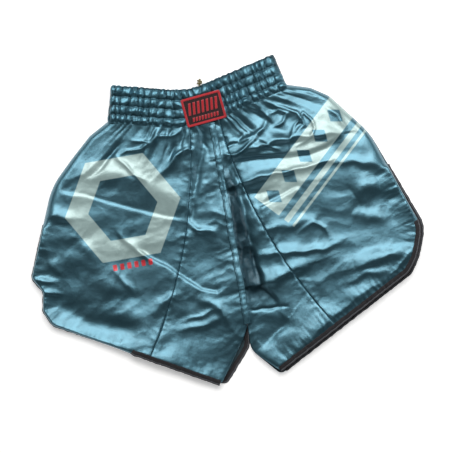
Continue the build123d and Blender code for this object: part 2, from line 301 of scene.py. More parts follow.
# ---------- cloth relief
def pleat(s, row, seed):
    """Irregular gathers along the waistband: round tops, sharp valleys, 0 to 1."""
    warp = s + 8.0 * noise(s / 24.0, row * 0.55, seed) + 2.6 * noise(s / 9.0, row * 1.3, seed + 1)
    wide = np.abs(np.sin(math.pi * warp / 11.5)) ** 0.8
    fine = np.abs(np.sin(math.pi * (warp * 1.7 + 3.0 * noise(s / 9.0, row * 2.1, seed + 2)) / 12.0)) ** 0.8
    mix = smooth(-0.05, 0.65, noise(s / 17.0, row * 0.9, seed + 3))
    return (wide * (1 - 0.5 * mix) + fine * 0.5 * mix) * (0.72 + 0.28 * noise(s / 13.0, row * 1.7, seed + 4))


# Folds pressed into the front: points, height, width on the left and right side.
FOLDS = [
    # wearer's left leg, from the waistband down
    ([(14, 276), (50, 281), (100, 288), (150, 289), (215, 283)], 8, 15, 7),
    ([(24, 226), (60, 234), (116, 236), (190, 242)], 6, 9, 5),
    ([(38, 212), (66, 210), (96, 214)], -2.5, 6, 9),
    ([(120, 345), (150, 330), (158, 304), (138, 292)], 3, 4, 4),
    ([(107, 321), (93, 344), (83, 358), (71, 365)], 3, 4, 5),
    ([(104, 334), (92, 312), (66, 300), (34, 298)], 4, 6, 4),
    ([(26, 281), (43, 278), (69, 294), (86, 306)], 4, 3, 3),
    ([(83, 292), (99, 281), (113, 274)], 3, 2.6, 3),
    ([(106, 331), (124, 336), (136, 329), (129, 317), (107, 312)], 2.6, 2.6, 2.6),
    ([(125, 270), (131, 286), (145, 309), (161, 327), (169, 315), (174, 299), (166, 285), (141, 274)],
     2.6, 2.6, 2.6),
    ([(200, 330), (214, 312), (222, 290)], 3, 5, 6),
    ([(28, 305), (31, 294), (46, 296), (58, 309)], -3, 4, 4),
    ([(13, 330), (15, 240), (18, 150), (22, 60), (16, 10)], 4.5, 4.5, 24),
    ([(31, 262), (36, 236), (40, 153), (44, 60)], -6, 9, 8),
    ([(84, 212), (68, 180), (56, 140)], 2.6, 9, 12),
    ([(60, 150), (110, 148), (150, 156)], 2.6, 12, 9),
    ([(124, 136), (143, 147), (164, 135), (167, 117)], 2.4, 5, 5),
    ([(46, 110), (102, 106), (158, 102), (188, 108)], 3.8, 10, 6),
    ([(34, 62), (65, 66), (89, 74), (124, 80)], 8.5, 20, 9),
    ([(17, 24), (48, 22), (82, 21)], -2.2, 2.6, 3),
    ([(78, 1), (58, -16), (29, -37)], -5, 8, 22),
    ([(130, 46), (160, 60), (200, 62)], 2.4, 14, 10),
    ([(219, 178), (237, 186), (261, 192)], 6, 20, 16),
    ([(214, 150), (236, 140), (262, 136)], 3, 12, 10),
    ([(200, 64), (234, 70), (258, 74), (284, 72)], 5.5, 16, 9),
    ([(196, 238), (232, 234), (268, 222)], 3.5, 12, 8),
    ([(263, 45), (283, 64), (301, 81)], 3, 6, 6),
    ([(180, 40), (214, 50), (250, 48)], 3, 10, 7),
    ([(56, -70), (100, -44), (150, -10), (200, 18), (250, 40)], 4, 30, 8),
    # wearer's right leg
    ([(-176, 352), (-212, 322), (-250, 280), (-270, 240)], 1.2, 12, 26),
    ([(-132, 333), (-150, 318), (-171, 301), (-196, 286)], -4.5, 4.5, 8),
    ([(-236, 286), (-206, 290), (-160, 318)], 1, 5, 5),
    ([(-144, 309), (-133, 315), (-111, 311), (-91, 320), (-80, 326)], 2.6, 2.8, 3.5),
    ([(-120, 331), (-96, 321), (-79, 331), (-60, 325), (-39, 331)], 2.4, 2.8, 3),
    ([(-62, 285), (-55, 294), (-34, 300), (-20, 295)], 4, 5, 8),
    ([(-64, 290), (-58, 302), (-52, 313)], -3, 4, 4),
    ([(-153, 312), (-136, 288), (-112, 262)], 2.6, 4, 5),
    ([(-6, 318), (-13, 288), (-23, 261), (-37, 229), (-44, 196), (-59, 170)], -6, 9, 9),
    ([(-60, 186), (-40, 168), (-14, 160)], 3.4, 6, 6),
    ([(-173, 188), (-149, 158), (-125, 136)], 2.6, 8, 6),
    ([(-314, 134), (-300, 128), (-284, 122)], 3.5, 7, 5),
    ([(-308, 112), (-294, 106), (-280, 102)], 3, 6, 5),
    ([(-296, 201), (-286, 159), (-273, 134)], 2.6, 12, 10),
    ([(-288, 236), (-262, 230), (-236, 220)], 4.5, 14, 10),
    ([(-250, 196), (-220, 170), (-212, 130)], 2.4, 12, 14),
    ([(-304, 100), (-275, 77), (-243, 52), (-209, 38), (-156, 22)], -5, 22, 20),
    ([(-92, 262), (-62, 284), (-40, 306)], 3.5, 8, 9),
    ([(-64, 60), (-30, 40), (-14, 0)], 3, 10, 8),
    ([(-140, 44), (-120, 60), (-90, 70)], 3, 7, 9),
    ([(-96, 9), (-61, 14), (-22, 21)], 3, 9, 6),
    ([(-88, 26), (-53, 30), (-29, 37)], 2, 5, 5),
    ([(-184, -16), (-156, -32), (-106, -61), (-68, -84)], 6, 40, 12),
    ([(-222, 300), (-174, 287), (-110, 257), (-66, 226)], 2.8, 14, 24),
    ([(-230, 120), (-190, 96), (-150, 88)], 2.6, 20, 16),
    ([(-189, 125), (-175, 111), (-162, 86)], 2, 7, 7),
]


# Steps where one part of the cloth stands above the next: points, drop and reach on the left side,
# rise and reach on the right side.
STEPS = [
    ([(-257, 276), (-241, 264), (-210, 254), (-176, 236), (-139, 219), (-112, 207), (-86, 196), (-48, 185)],
     1.7, 12, 0.7, 20),
    ([(-149, 161), (-125, 136), (-100, 118), (-75, 93), (-51, 71), (-27, 62), (-8, 70)],
     2.2, 16, 1.8, 20),
    ([(29, 269), (74, 268), (116, 263), (158, 260), (188, 266), (216, 280)], -3, 30, -5, 16),
    ([(59, 184), (99, 197), (138, 210)], 1.4, 14, 2, 18),
]


def step_relief(points, steps):
    total = np.zeros(len(points))
    for line, drop, reach_up, rise, reach_down in steps:
        dist, signed, along, length = to_line(points, np.array(line, float))
        t = along / length
        taper = smooth(0.0, 0.12, t) * (1 - smooth(0.86, 1.0, t))
        share = 0.5 + 0.5 * np.tanh(signed / 2.8)
        up = -drop * np.exp(-dist / reach_up) * share
        low = rise * np.exp(-dist / reach_down) * (1 - share)
        total += (up + low) * taper
    return total


def fold_relief(points, folds):
    total = np.zeros(len(points))
    for line, height, left, right in folds:
        line = np.array(line, float)
        low, high = line.min(0) - 4 * max(left, right), line.max(0) + 4 * max(left, right)
        near = ((points > low) & (points < high)).all(1)
        if not near.any():
            continue
        p = points[near]
        wobble = np.stack([noise(p[:, 0] / 23, p[:, 1] / 23, 31), noise(p[:, 0] / 23, p[:, 1] / 23, 32)], -1)
        dist, signed, along, length = to_line(p + 3.0 * wobble, line)
        width = np.where(signed > 0, left, right)
        t = np.clip(along / length, 0, 1)
        taper = np.sin(math.pi * np.clip(t * 0.9 + 0.05, 0, 1)) ** 0.6
        shape = 1.0 / (1.0 + (dist / width) ** 2) ** 1.6
        total[near] += height * taper * shape
    return total


side_curves = {}
for kind in ("front", "back"):
    for side in (-1, 1):
        poly, tags = leg_polygon(kind, side)
        side_curves[kind, side] = {
            "poly": poly,
            "tags": tags,
            "hip": poly[(tags < 7) & (poly[:, 1] > VENT_Y)],
            "hem": poly[(tags >= 3.5) & (tags < 8.0) & (poly[:, 1] <= VENT_Y)],
            "inseam": poly[(tags >= 8.0) & (tags < 10.0)],
        }


HIDDEN_TO = {}
for side, tip in ((-1, (-186.0, -8.0)), (1, (314.0, 128.0))):
    HIDDEN_TO[side] = float(to_line(np.array([tip]), side_curves["front", side]["hem"])[2][0])


def hidden_hem(side, hem_along):
    """1 where the front hem is rolled under so that its binding does not show."""
    limit = HIDDEN_TO[side]
    return 1.0 - smooth(limit - 22.0, limit + 10.0, hem_along)


def fly_hollow(points):
    """The strip of the wearer's left leg that is pushed in under the fly seam."""
    x, y = points[:, 0], points[:, 1]
    outer = np.interp(y, [20.0, 45.0, 60.0, 157.0, 220.0, 270.0], [70.0, 58.0, 48.0, 41.0, 33.0, 26.0])
    past_edge = x - outer + 3.0 * noise(y / 22.0, 0.5, 27)
    across = smooth(CENTRE_X + 1.0, CENTRE_X + 9.0, x) * (1 - smooth(-5.0, 5.0, past_edge))
    return across * smooth(-16.0, 66.0, y) * (1 - smooth(225.0, 280.0, y))


def front_height(points, side):
    """Height of the front layer's outer face, in millimetres above the floor."""
    x, y = points[:, 0], points[:, 1]
    curves = side_curves["front", side]
    s, d = band_sd(points)
    hip = to_line(points, curves["hip"])[0]
    hem, _, hem_along, _ = to_line(points, curves["hem"])
    inseam = to_line(points, curves["inseam"])[0]
    centre = np.abs(x - CENTRE_X)
    below = np.clip(d - BAND, 0, None)
    body = 11.0 + 2.6 * noise(x / 105, y / 105, 3) + 1.3 * noise(x / 48, y / 48, 4)
    if side > 0:
        tilt = 6.0 * smooth(20.0, 270.0, x)
    else:
        tilt = (5.0 * smooth(90.0, 330.0, y) - 1.5) * smooth(0.0, 50.0, CENTRE_X - x)
    body = body + 7.0 * np.exp(-hem / 70.0) + tilt
    roll = hidden_hem(side, hem_along) * smooth(0.0, 10.0, VENT_Y + 4 - y)
    hem_fall = 0.14 if side < 0 else 0.24
    edge = (1 - np.exp(-(hip + 0.3) / 3.0)) * (1 - hem_fall * (1 - roll) * np.exp(-hem / 5.0))
    edge = edge * (1 - 0.28 * np.exp(-(inseam + 0.5) / 6.0))
    z = 3.0 + (body - 3.0) * edge
    # gathers fan out from the waistband
    near_band = np.exp(-below / 26.0)
    fan = s / (1 + below / 120.0)
    reach = 12.0 + 40.0 * smooth(-0.5, 0.6, noise(fan / 12.0, 0.0, 11))
    gather = pleat(fan + 2.0 * noise(fan / 30.0, below / 18.0, 18), np.full_like(fan, 4.0), 5)
    some = smooth(-0.35, 0.35, noise(fan / 19.0, 2.7, 19)) * (1 - smooth(60.0, 120.0, np.abs(s - 10.0)))
    reach = reach * (0.35 + 0.65 * some)
    round_in = smooth(-1.0, 12.0, hip)
    top = BAND_TOP - 0.7 + 1.0 * gather
    relief = (gather - 0.5) * (1.8 + 4.6 * some) * np.exp(-below / reach) * smooth(-2.0, 10.0, below)
    z = z + (top - z) * near_band * round_in + relief * round_in
    wide = noise(fan / 17.0, below / 160.0, 12)
    calm_hip = 1 - 0.9 * smooth(30.0, 75.0, -s)
    z += 4.2 * calm_hip * wide * np.exp(-below / 75.0) * smooth(0.0, 22.0, hip) * smooth(0.0, 14.0, below)
    # puckers along the stitched seams
    wobble = y + 5.0 * noise(x / 16.0, y / 40.0, 14)
    away = smooth(40.0, 110.0, RISE - y)
    more, spread = (0.6, 24.0) if side < 0 else (0.0, 12.0)
    gathered = 0.7 + more * smooth(0.0, 24.0, centre)
    z += gathered * ridged(wobble / 15.0, centre / 34.0, 13) * np.exp(-centre / spread) * away
    z -= 1.6 * np.exp(-(centre / 9.0) ** 2)
    seam = to_line(points, panel_seam(side))
    z += 0.7 * ridged(seam[2] / 14.0, seam[1] / 22.0, 15) * np.exp(-seam[0] / 9.0)
    z -= 0.8 * np.exp(-(seam[0] / 2.0) ** 2)
    pucker = 0.7 if side < 0 else 1.1
    z += pucker * ridged(hem_along / 8.0, hem / 30.0, 16) * np.exp(-hem / (10.0 if side < 0 else 17.0))
    z += 0.55 * ridged(hem_along / 19.0, hem / 50.0, 17) * np.exp(-hem / 30.0)
    # soft creases all over
    wx = x + 14 * noise(x / 60, y / 60, 21)
    wy = y + 14 * noise(x / 60, y / 60, 22)
    calm = smooth(0.0, 18.0, hip) * smooth(0.0, 10.0, hem)
    z += 1.5 * noise(wx / 70, wy / 34, 23) * calm
    z += 0.4 * ridged((wx + wy) / 60, (wx - wy) / 34, 24) * calm
    z += 0.16 * noise(wx / 12, wy / 10, 25) * calm
    pressed = fold_relief(points, FOLDS) + step_relief(points, STEPS)
    z += pressed * smooth(-2.0, 14.0, hip) * smooth(-3.0, 8.0, hem)
    # the hollow beside the fly, lower towards the crotch
    if side > 0:
        z += fly_hollow(points) * np.clip(0.07 * (y - 150.0) - 1.5, -4.5, 5.0)
    # the hem rolled under itself: a full round edge, then a long shallow hollow
    roll = roll * (1 - smooth(46.0, 80.0, hem))
    ground = 7.6 + 1.8 * np.exp(-hem / 16.0)
    raised = 0.5 * (z + ground + np.sqrt((z - ground) ** 2 + 5.0))
    z = z + (raised - z) * roll
    t = np.clip(1 - hem / 3.4, 0, 1)
    rim = 1.2 * np.exp(-((hem - 1.0) / 12.0) ** 2) - 1.6 * np.exp(-((hem - 30.0) / 18.0) ** 2)
    rim = rim - (z - 3.2) * (1 - np.sqrt(1 - t * t * 0.97)) * 0.9
    z += rim * roll * (1.0 if side < 0 else 0.7)
    return np.clip(z, 2.6, 29.5)


def back_height(points, side):
    """Height of the back layer's inner face; it lies on the floor."""
    x, y = points[:, 0], points[:, 1]
    curves = side_curves["back", side]
    hip = to_line(points, curves["hip"])[0]
    hem, _, hem_along, _ = to_line(points, curves["hem"])
    z = 1.3 + 0.5 * noise(x / 40, y / 40, 41) + 0.35 * ridged(x / 24, y / 18, 42)
    z += 0.5 * ridged(hem_along / 9.0, hem / 30.0, 43) * np.exp(-hem / 14.0)
    z += 1.0 * np.exp(-hip / 5.0)
    return np.clip(z, 0.75, 4.0)


# ---------- mesh helpers
def to_row(points, z):
    """Drawing-frame millimetres to row-frame metres."""
    out = np.empty((len(points), 3))
    out[:, 0] = (points[:, 0] + ROW[0]) / 1000
    out[:, 1] = (points[:, 1] + ROW[1]) / 1000
    out[:, 2] = z / 1000
    return out


def put_in_scene(name, data):
    obj = bpy.data.objects.new(name, data)
    bpy.context.scene.collection.objects.link(obj)
    return obj


def new_mesh(name, verts, faces, uvs, material, attributes=None):
    mesh = bpy.data.meshes.new(name)
    mesh.from_pydata([tuple(v) for v in verts], [], [tuple(int(i) for i in f) for f in faces])
    mesh.update()
    layer = mesh.uv_layers.new(name="UVMap")
    index = np.empty(len(mesh.loops), dtype=np.int32)
    mesh.loops.foreach_get("vertex_index", index)
    layer.data.foreach_set("uv", np.asarray(uvs, np.float32)[index].ravel())
    for key, values in (attributes or {}).items():
        layer = mesh.attributes.new(key, "FLOAT", "POINT")
        layer.data.foreach_set("value", np.asarray(values, np.float32))
    mesh.shade_smooth()
    mesh.materials.append(material)
    return put_in_scene(name, mesh)


def grid_faces(rows, columns, closed_rows=False, closed_columns=False):
    faces = []
    for i in range(rows if closed_rows else rows - 1):
        for j in range(columns if closed_columns else columns - 1):
            a = i * columns + j
            b = i * columns + (j + 1) % columns
            c = ((i + 1) % rows) * columns + (j + 1) % columns
            d = ((i + 1) % rows) * columns + j
            faces.append((a, b, c, d))
    return faces


def panel_points(kind, side, spacing):
    """Triangulated leg layer: points, triangles and whether each triangle is on the inner panel."""
    poly, tags = leg_polygon(kind, side, spacing * 0.9)
    low, high = poly.min(0), poly.max(0)
    rows = []
    step_y = spacing * 0.866
    for j in range(int((high[1] - low[1]) / step_y) + 1):
        xs = np.arange(low[0] + (spacing / 2 if j % 2 else 0), high[0], spacing)
        rows.append(np.stack([xs, np.full_like(xs, low[1] + j * step_y)], -1))
    grid = np.concatenate(rows)
    grid = grid[inside(grid, poly)]
    seam = panel_seam(side)
    near = np.minimum(to_line(grid, poly, closed=True)[0], to_line(grid, seam)[0])
    grid = grid[near > spacing * 0.55]
    inner_seam = seam[inside(seam, poly)]
    inner_seam = inner_seam[to_line(inner_seam, poly, closed=True)[0] > spacing * 0.4]
    ends = [int(np.hypot(*(poly - tip).T).argmin()) for tip in (inner_seam[0], inner_seam[-1])]
    coords = [Vector(p) for p in np.concatenate([poly, inner_seam, grid])]
    first = len(poly)
    edges = [(first + i, first + i + 1) for i in range(len(inner_seam) - 1)]
    edges += [(ends[0], first), (first + len(inner_seam) - 1, ends[1])]
    result = geometry.delaunay_2d_cdt(coords, edges, [list(range(len(poly)))], 1, 1e-5)
    points = np.array([tuple(v) for v in result[0]])
    triangles = np.array([tuple(f) for f in result[2]])
    middle = points[triangles].mean(1)
    beyond = CENTRE_X - side * 90.0
    wedge = np.concatenate([seam, [(beyond, RISE), (beyond, -1.3 * LEG_DROP)]])
    a, b, c = (points[triangles[:, i]] for i in range(3))
    area = np.cross(b - a, c - a)
    triangles = np.where(area[:, None] < 0, triangles[:, ::-1], triangles)
    return points, triangles[np.abs(area) > 1e-3], inside(middle, wedge)[np.abs(area) > 1e-3]


# ---------- prints
# Plain shapes stand where the real shorts are printed: a six-sided ring with a row of red bars
# below it on one leg, a straight band of lozenges with two stripes beside it on the other.
RING_MIDDLE = (-155.0, 224.0)
RING_APOTHEM = 66.0
RING_WIDTH = 33.0
RED_ROW = [(-190.0, 130.0), (-120.0, 130.0)]
RED_BARS = 6
RED_HEIGHT = 10.0
RED_SHARE = 0.56      # of each bar's step that is inked
BAND_ENDS = [(76.0, 186.0), (226.0, 326.0)]
BAND_WIDTH = 50.0
LOZENGES = 5
STRIPES = [(-40.0, 9.0), (-54.0, 4.0)]     # place across from the band's middle, width
NO_PRINT = 60.0       # a distance well off any printed shape


def beside(points, ends):
    """Distances along and across a straight line from its middle, and its half length."""
    a, b = np.array(ends[0]), np.array(ends[1])
    half = np.linalg.norm(b - a) / 2
    t = (b - a) / (2 * half)
    q = points - (a + b) / 2
    return q @ t, q @ np.array([-t[1], t[0]]), half


def shapes_right(points):
    """Signed distances to the pale ring, to nothing, and to the red bars."""
    x, y = np.abs(points - np.array(RING_MIDDLE)).T
    hexagon = np.maximum(y, 0.866 * x + 0.5 * y)
    ring = np.abs(hexagon - RING_APOTHEM) - RING_WIDTH / 2
    u, v, half = beside(points, RED_ROW)
    step = 2 * half / RED_BARS
    from_bar = np.abs((u + half) % step - step / 2)
    red = np.maximum(from_bar - RED_SHARE / 2 * step, np.abs(v) - RED_HEIGHT / 2)
    red = np.maximum(red, np.abs(u) - half)
    return ring, np.full(len(points), NO_PRINT), red


def shapes_left(points):
    """Signed distances to the pale band with lozenges cut out, to its stripes, and to nothing."""
    u, v, half = beside(points, BAND_ENDS)
    step = 2 * half / LOZENGES
    from_middle = np.abs((u + half) % step - step / 2)
    lozenge = 0.66 * (from_middle + 0.75 * np.abs(v)) - 8.0     # 12 mm along and 16 mm across from its middle
    past_end = np.abs(u) - half
    band = np.maximum(np.maximum(np.abs(v) - BAND_WIDTH / 2, past_end), -lozenge)
    stripes = [np.maximum(np.abs(v - place) - width / 2, past_end) for place, width in STRIPES]
    return band, np.minimum(*stripes), np.full(len(points), NO_PRINT)


# ---------- materials
def nodes_of(name):
    material = bpy.data.materials.new(name)
    material.use_nodes = True
    tree = material.node_tree
    return material, tree, tree.nodes["Principled BSDF"]


def link(tree, source, target):
    tree.links.new(source, target)


def add(tree, kind, **values):
    node = tree.nodes.new(kind)
    for key, value in values.items():
        setattr(node, key, value)
    return node


def math_node(tree, operation, a, b=None, clamp=False):
    node = add(tree, "ShaderNodeMath", operation=operation, use_clamp=clamp)
    for i, value in enumerate((a, b)):
        if value is None:
            continue
        if isinstance(value, (int, float)):
            node.inputs[i].default_value = value
        else:
            link(tree, value, node.inputs[i])
    return node.outputs[0]


def times(tree, a, b, clamp=False):
    return math_node(tree, "MULTIPLY", a, b, clamp)


def plus(tree, a, b, clamp=False):
    return math_node(tree, "ADD", a, b, clamp)


def bump_node(tree, height, strength, distance, normal=None):
    node = add(tree, "ShaderNodeBump")
    node.inputs["Strength"].default_value = strength
    node.inputs["Distance"].default_value = distance
    link(tree, height, node.inputs["Height"])
    if normal is not None:
        link(tree, normal, node.inputs["Normal"])
    return node.outputs[0]


def set_values(shader, **values):
    """Sets shader sockets by name, with _ for the space."""
    for key, value in values.items():
        shader.inputs[key.replace("_", " ")].default_value = value


def cloth_uv(tree):
    """The cloth's own coordinates, in metres, whole and split."""
    uv = add(tree, "ShaderNodeUVMap", uv_map="UVMap").outputs[0]
    split = add(tree, "ShaderNodeSeparateXYZ")
    link(tree, uv, split.inputs[0])
    return uv, split


def mix_colour(tree, factor, a, b):
    node = add(tree, "ShaderNodeMix", data_type="RGBA")
    for socket, value in ((node.inputs[0], factor), (node.inputs[6], a), (node.inputs[7], b)):
        if isinstance(value, (tuple, list)):
            socket.default_value = (*value[:3], 1.0)
        elif isinstance(value, (int, float)):
            socket.default_value = value
        else:
            link(tree, value, socket)
    return node.outputs[2]


def noise_node(tree, vector, scale, detail=2.0, rough=0.5):
    node = add(tree, "ShaderNodeTexNoise")
    node.inputs["Scale"].default_value = scale
    node.inputs["Detail"].default_value = detail
    node.inputs["Roughness"].default_value = rough
    link(tree, vector, node.inputs["Vector"])
    return node.outputs["Fac"]


def weave_height(tree, pitch):
    """A fine satin weave."""
    uv, split = cloth_uv(tree)
    u = math_node(tree, "SINE", times(tree, split.outputs[0], 2 * math.pi / pitch))
    v = math_node(tree, "SINE", times(tree, split.outputs[1], 2 * math.pi / (pitch * 1.6)))
    return uv, split, times(tree, u, v)


TEAL = (0.104, 0.236, 0.300)
TEAL_DEEP = (0.066, 0.182, 0.242)
SAGE = (0.40, 0.54, 0.52)
RED = (0.55, 0.020, 0.035)
# Near-black teal for painted shade in the cloth's hollows.
PAINTED_SHADE_COLOUR = (0.008, 0.032, 0.047)
METALLIC = 0.86


def satin(name, printed, gloss=1.0):
    material, tree, shader = nodes_of(name)
    uv, _, weave = weave_height(tree, 0.0005)
    broad = noise_node(tree, uv, 14.0, 3.0)
    colour = mix_colour(tree, broad, TEAL_DEEP, TEAL)
    if printed:
        masks = []
        for key, soft in (("print_a", 1.2), ("print_b", 1.2), ("print_c", 1.0)):
            value = add(tree, "ShaderNodeAttribute", attribute_name=key).outputs["Fac"]
            masks.append(plus(tree, times(tree, value, -1.0 / soft), 0.5, clamp=True))
        pale = math_node(tree, "MAXIMUM", masks[0], masks[1])
        worn = plus(tree, times(tree, noise_node(tree, uv, 420.0, 4.0), 0.16), 0.84)
        colour = mix_colour(tree, times(tree, pale, 0.93), colour, mix_colour(tree, worn, TEAL, SAGE))
        colour = mix_colour(tree, masks[2], colour, RED)
    # Painted shade: the shade attribute mixes the colour towards a near-black teal where the cloth lies in
    # shade, in the gaps between the waistband's gathers and in the strip under the fly seam.
    shade = add(tree, "ShaderNodeAttribute", attribute_name="shade").outputs["Fac"]
    colour = mix_colour(tree, shade, colour, PAINTED_SHADE_COLOUR)
    link(tree, colour, shader.inputs["Base Color"])
    if printed:
        inked = math_node(tree, "MAXIMUM", pale, masks[2])
        link(tree, plus(tree, times(tree, inked, -0.50), METALLIC), shader.inputs["Metallic"])
    else:
        shader.inputs["Metallic"].default_value = METALLIC
    rough = plus(tree, times(tree, noise_node(tree, uv, 60.0, 3.0), 0.12), 0.36)
    link(tree, rough, shader.inputs["Roughness"])
    set_values(shader, Anisotropic=0.45, Specular_IOR_Level=0.7 * gloss, Coat_Weight=0.16 * gloss,
               Coat_Roughness=0.26, Coat_IOR=1.8)
    tangent = add(tree, "ShaderNodeTangent", direction_type="UV_MAP", uv_map="UVMap")
    link(tree, tangent.outputs[0], shader.inputs["Tangent"])
    crinkle = bump_node(tree, noise_node(tree, uv, 170.0, 3.0, 0.55), 0.25, 0.0012)
    link(tree, bump_node(tree, weave, 0.35, 0.00005, crinkle), shader.inputs["Normal"])
    return material


def plain_cloth(name, dark, light, pitch, rough, stitch_line_and_highlight=None):
    material, tree, shader = nodes_of(name)
    uv, split, weave = weave_height(tree, pitch)
    colour = mix_colour(tree, noise_node(tree, uv, 220.0, 4.0, 0.6), dark, light)
    if stitch_line_and_highlight:
        # A pale line along the tape near its outer rim: stitching, lightened to act as a painted highlight on
        # the rim.
        tone, gap = stitch_line_and_highlight
        dash = math_node(tree, "SINE", times(tree, split.outputs[0], 2 * math.pi / 0.003))
        dash = plus(tree, times(tree, dash, 0.2), 0.8, clamp=True)
        off = math_node(tree, "ABSOLUTE", plus(tree, split.outputs[1], -gap))
        row = math_node(tree, "SUBTRACT", 1.0, times(tree, off, 1100.0, clamp=True), clamp=True)
        colour = mix_colour(tree, times(tree, dash, row), colour, tone)
    link(tree, colour, shader.inputs["Base Color"])
    value = plus(tree, times(tree, noise_node(tree, uv, 90.0), 0.15), rough - 0.07)
    link(tree, value, shader.inputs["Roughness"])
    shader.inputs["Sheen Weight"].default_value = 0.06
    link(tree, bump_node(tree, weave, 0.6, 0.0002), shader.inputs["Normal"])
    return material


def thread(name, dark, light, lean):
    """Satin-stitch embroidery: fine slanting threads."""
    material, tree, shader = nodes_of(name)
    uv, split = cloth_uv(tree)
    line = plus(tree, split.outputs[0], times(tree, split.outputs[1], lean))
    wave = math_node(tree, "SINE", times(tree, line, 2 * math.pi / 0.0008))
    factor = plus(tree, times(tree, wave, 0.25), noise_node(tree, uv, 700.0, 3.0), clamp=True)
    link(tree, mix_colour(tree, factor, dark, light), shader.inputs["Base Color"])
    rough = plus(tree, times(tree, wave, 0.06), 0.42)
    link(tree, rough, shader.inputs["Roughness"])
    shader.inputs["Sheen Weight"].default_value = 0.3
    link(tree, bump_node(tree, wave, 0.8, 0.0003), shader.inputs["Normal"])
    return material


satin_plain = satin("satin_plain", None)
satin_band = satin("satin_band", None, gloss=0.4)
satin_right = satin("satin_print_right", "right")
satin_left = satin("satin_print_left", "left")
inside_cloth = plain_cloth("satin_wrong_side", (0.020, 0.050, 0.062), (0.034, 0.075, 0.092), 0.0005, 0.62)
# The binding's pale line near the outer rim is stitching and a painted highlight on the rim.
binding_cloth = plain_cloth("binding_tape", (0.006, 0.005, 0.007), (0.016, 0.014, 0.018), 0.0007, 0.60,
                            stitch_line_and_highlight=((0.20, 0.22, 0.25), 0.0074))
elastic_cloth = plain_cloth("elastic_webbing", (0.60, 0.60, 0.57), (0.82, 0.82, 0.79), 0.0012, 0.8)
patch_cloth = plain_cloth("patch_twill", (0.008, 0.002, 0.003), (0.026, 0.006, 0.009), 0.0006, 0.7)
red_thread = thread("red_embroidery", (0.42, 0.008, 0.014), (0.85, 0.03, 0.05), 0.15)
cord_cloth = thread("cord_braid", (0.12, 0.10, 0.030), (0.34, 0.28, 0.105), 0.8)


def finish_piece(obj, slot, *replaced):
    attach(obj, "root")
    if replaced:
        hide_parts(*replaced)
    return obj


def thicken(obj, thickness, inner=None):
    """Turns an open cloth surface into a closed sheet, with the wrong side's own material."""
    if inner is not None:
        obj.data.materials.append(inner)
    solid = obj.modifiers.new("thickness", "SOLIDIFY")
    solid.thickness = thickness
    solid.offset = -1.0
    solid.use_even_offset = False
    if inner is not None:
        solid.material_offset = 1
        solid.material_offset_rim = 1
    return obj


for kind, spacing in (("front", 2.0), ("back", 3.4)):
    for side, name in ((-1, "right"), (1, "left")):
        points, triangles, is_inner = panel_points(kind, side, spacing)
        height = (front_height if kind == "front" else back_height)(points, side)
        masks = shapes_right(points) if side < 0 else shapes_left(points)
        for part, chosen in (("outer", triangles[~is_inner]), ("inner", triangles[is_inner])):
            used, index = np.unique(chosen, return_inverse=True)
            chosen = index.reshape(-1, 3)
            if kind == "back":
                chosen = chosen[:, ::-1]
            z = height[used]
            verts = to_row(points[used], z)
            extra = {f"print_{k}": mask[used] for k, mask in zip("abc", masks)} if kind == "front" else None
            # Painted shade on the strip of cloth pushed in under the fly seam, as if it lay in the overlap's
            # shadow.
            if kind == "front" and side > 0:
                extra["shade"] = 0.9 * fly_hollow(points[used]) * smooth(12.0, 50.0, points[used][:, 1])
            label = f"cloth_{kind}_{part}_{name}"
            material = satin_plain if kind == "back" else (satin_right if side < 0 else satin_left)
            obj = new_mesh(label, verts, chosen, points[used] / 1000, material, extra)
            thicken(obj, CLOTH, inside_cloth)
            finish_piece(obj, "satin", f"{kind}_{part}_{name}")


# ---------- waistband
def stadium(s_low, s_high, half, z_mid, step_front, step_back):
    """Points round the waistband seen end on: along it, height, outward direction, front share, end."""
    left, right = s_low + half, s_high - half

    def turn(start, middle, end):
        angles = start - np.linspace(0, math.pi, 22)[:-1]
        arc = [(math.cos(t), math.sin(t)) for t in angles]
        return [(middle + half * c, z_mid + half * h, c, h, 0.5 + 0.5 * h, end) for c, h in arc]

    out = [(s, z_mid + half, 0.0, 1.0, 1.0, 0.0) for s in np.arange(left, right, step_front)]
    out += turn(math.pi / 2, right, 1.0)
    out += [(s, z_mid - half, 0.0, -1.0, 0.0, 0.0) for s in np.arange(right, left, -step_back)]
    out += turn(-math.pi / 2, left, -1.0)
    return np.array(out)


def resample(loop, left, right, half):
    """A loop inside the outer one, matched point by point by the share of each stretch."""
    s, _, nx, nz, front, end = loop.T
    share = (s - OUTER_LEFT) / (OUTER_RIGHT - OUTER_LEFT)
    at = np.where(end == 0.0, left + (right - left) * share, np.where(end > 0, right, left) + half * nx)
    return np.stack([at, Z_MID + half * nz, nx, nz, front, end], -1)


PATCH_W, PATCH_H, PATCH_TURN = 66.0, 47.0, math.radians(5.5)
PATCH_COS, PATCH_SIN = math.cos(PATCH_TURN), math.sin(PATCH_TURN)
patch_mid = np.array([(low + high) / 2 * 1000 - row for low, high, row in zip(patch_low, patch_high, ROW)])
PATCH_Z = 22.4
Z_MID = BAND_TOP / 2
outer_half = BAND_TOP / 2
OUTER_LEFT, OUTER_RIGHT = S_RIGHT + outer_half, S_LEFT - outer_half
outer_loop = stadium(S_RIGHT, S_LEFT, outer_half, Z_MID, 0.9, 1.5)
inner_loop = resample(outer_loop, S_RIGHT + 9.7 + 2.75, S_LEFT - 9.7 - 2.75, 2.75)


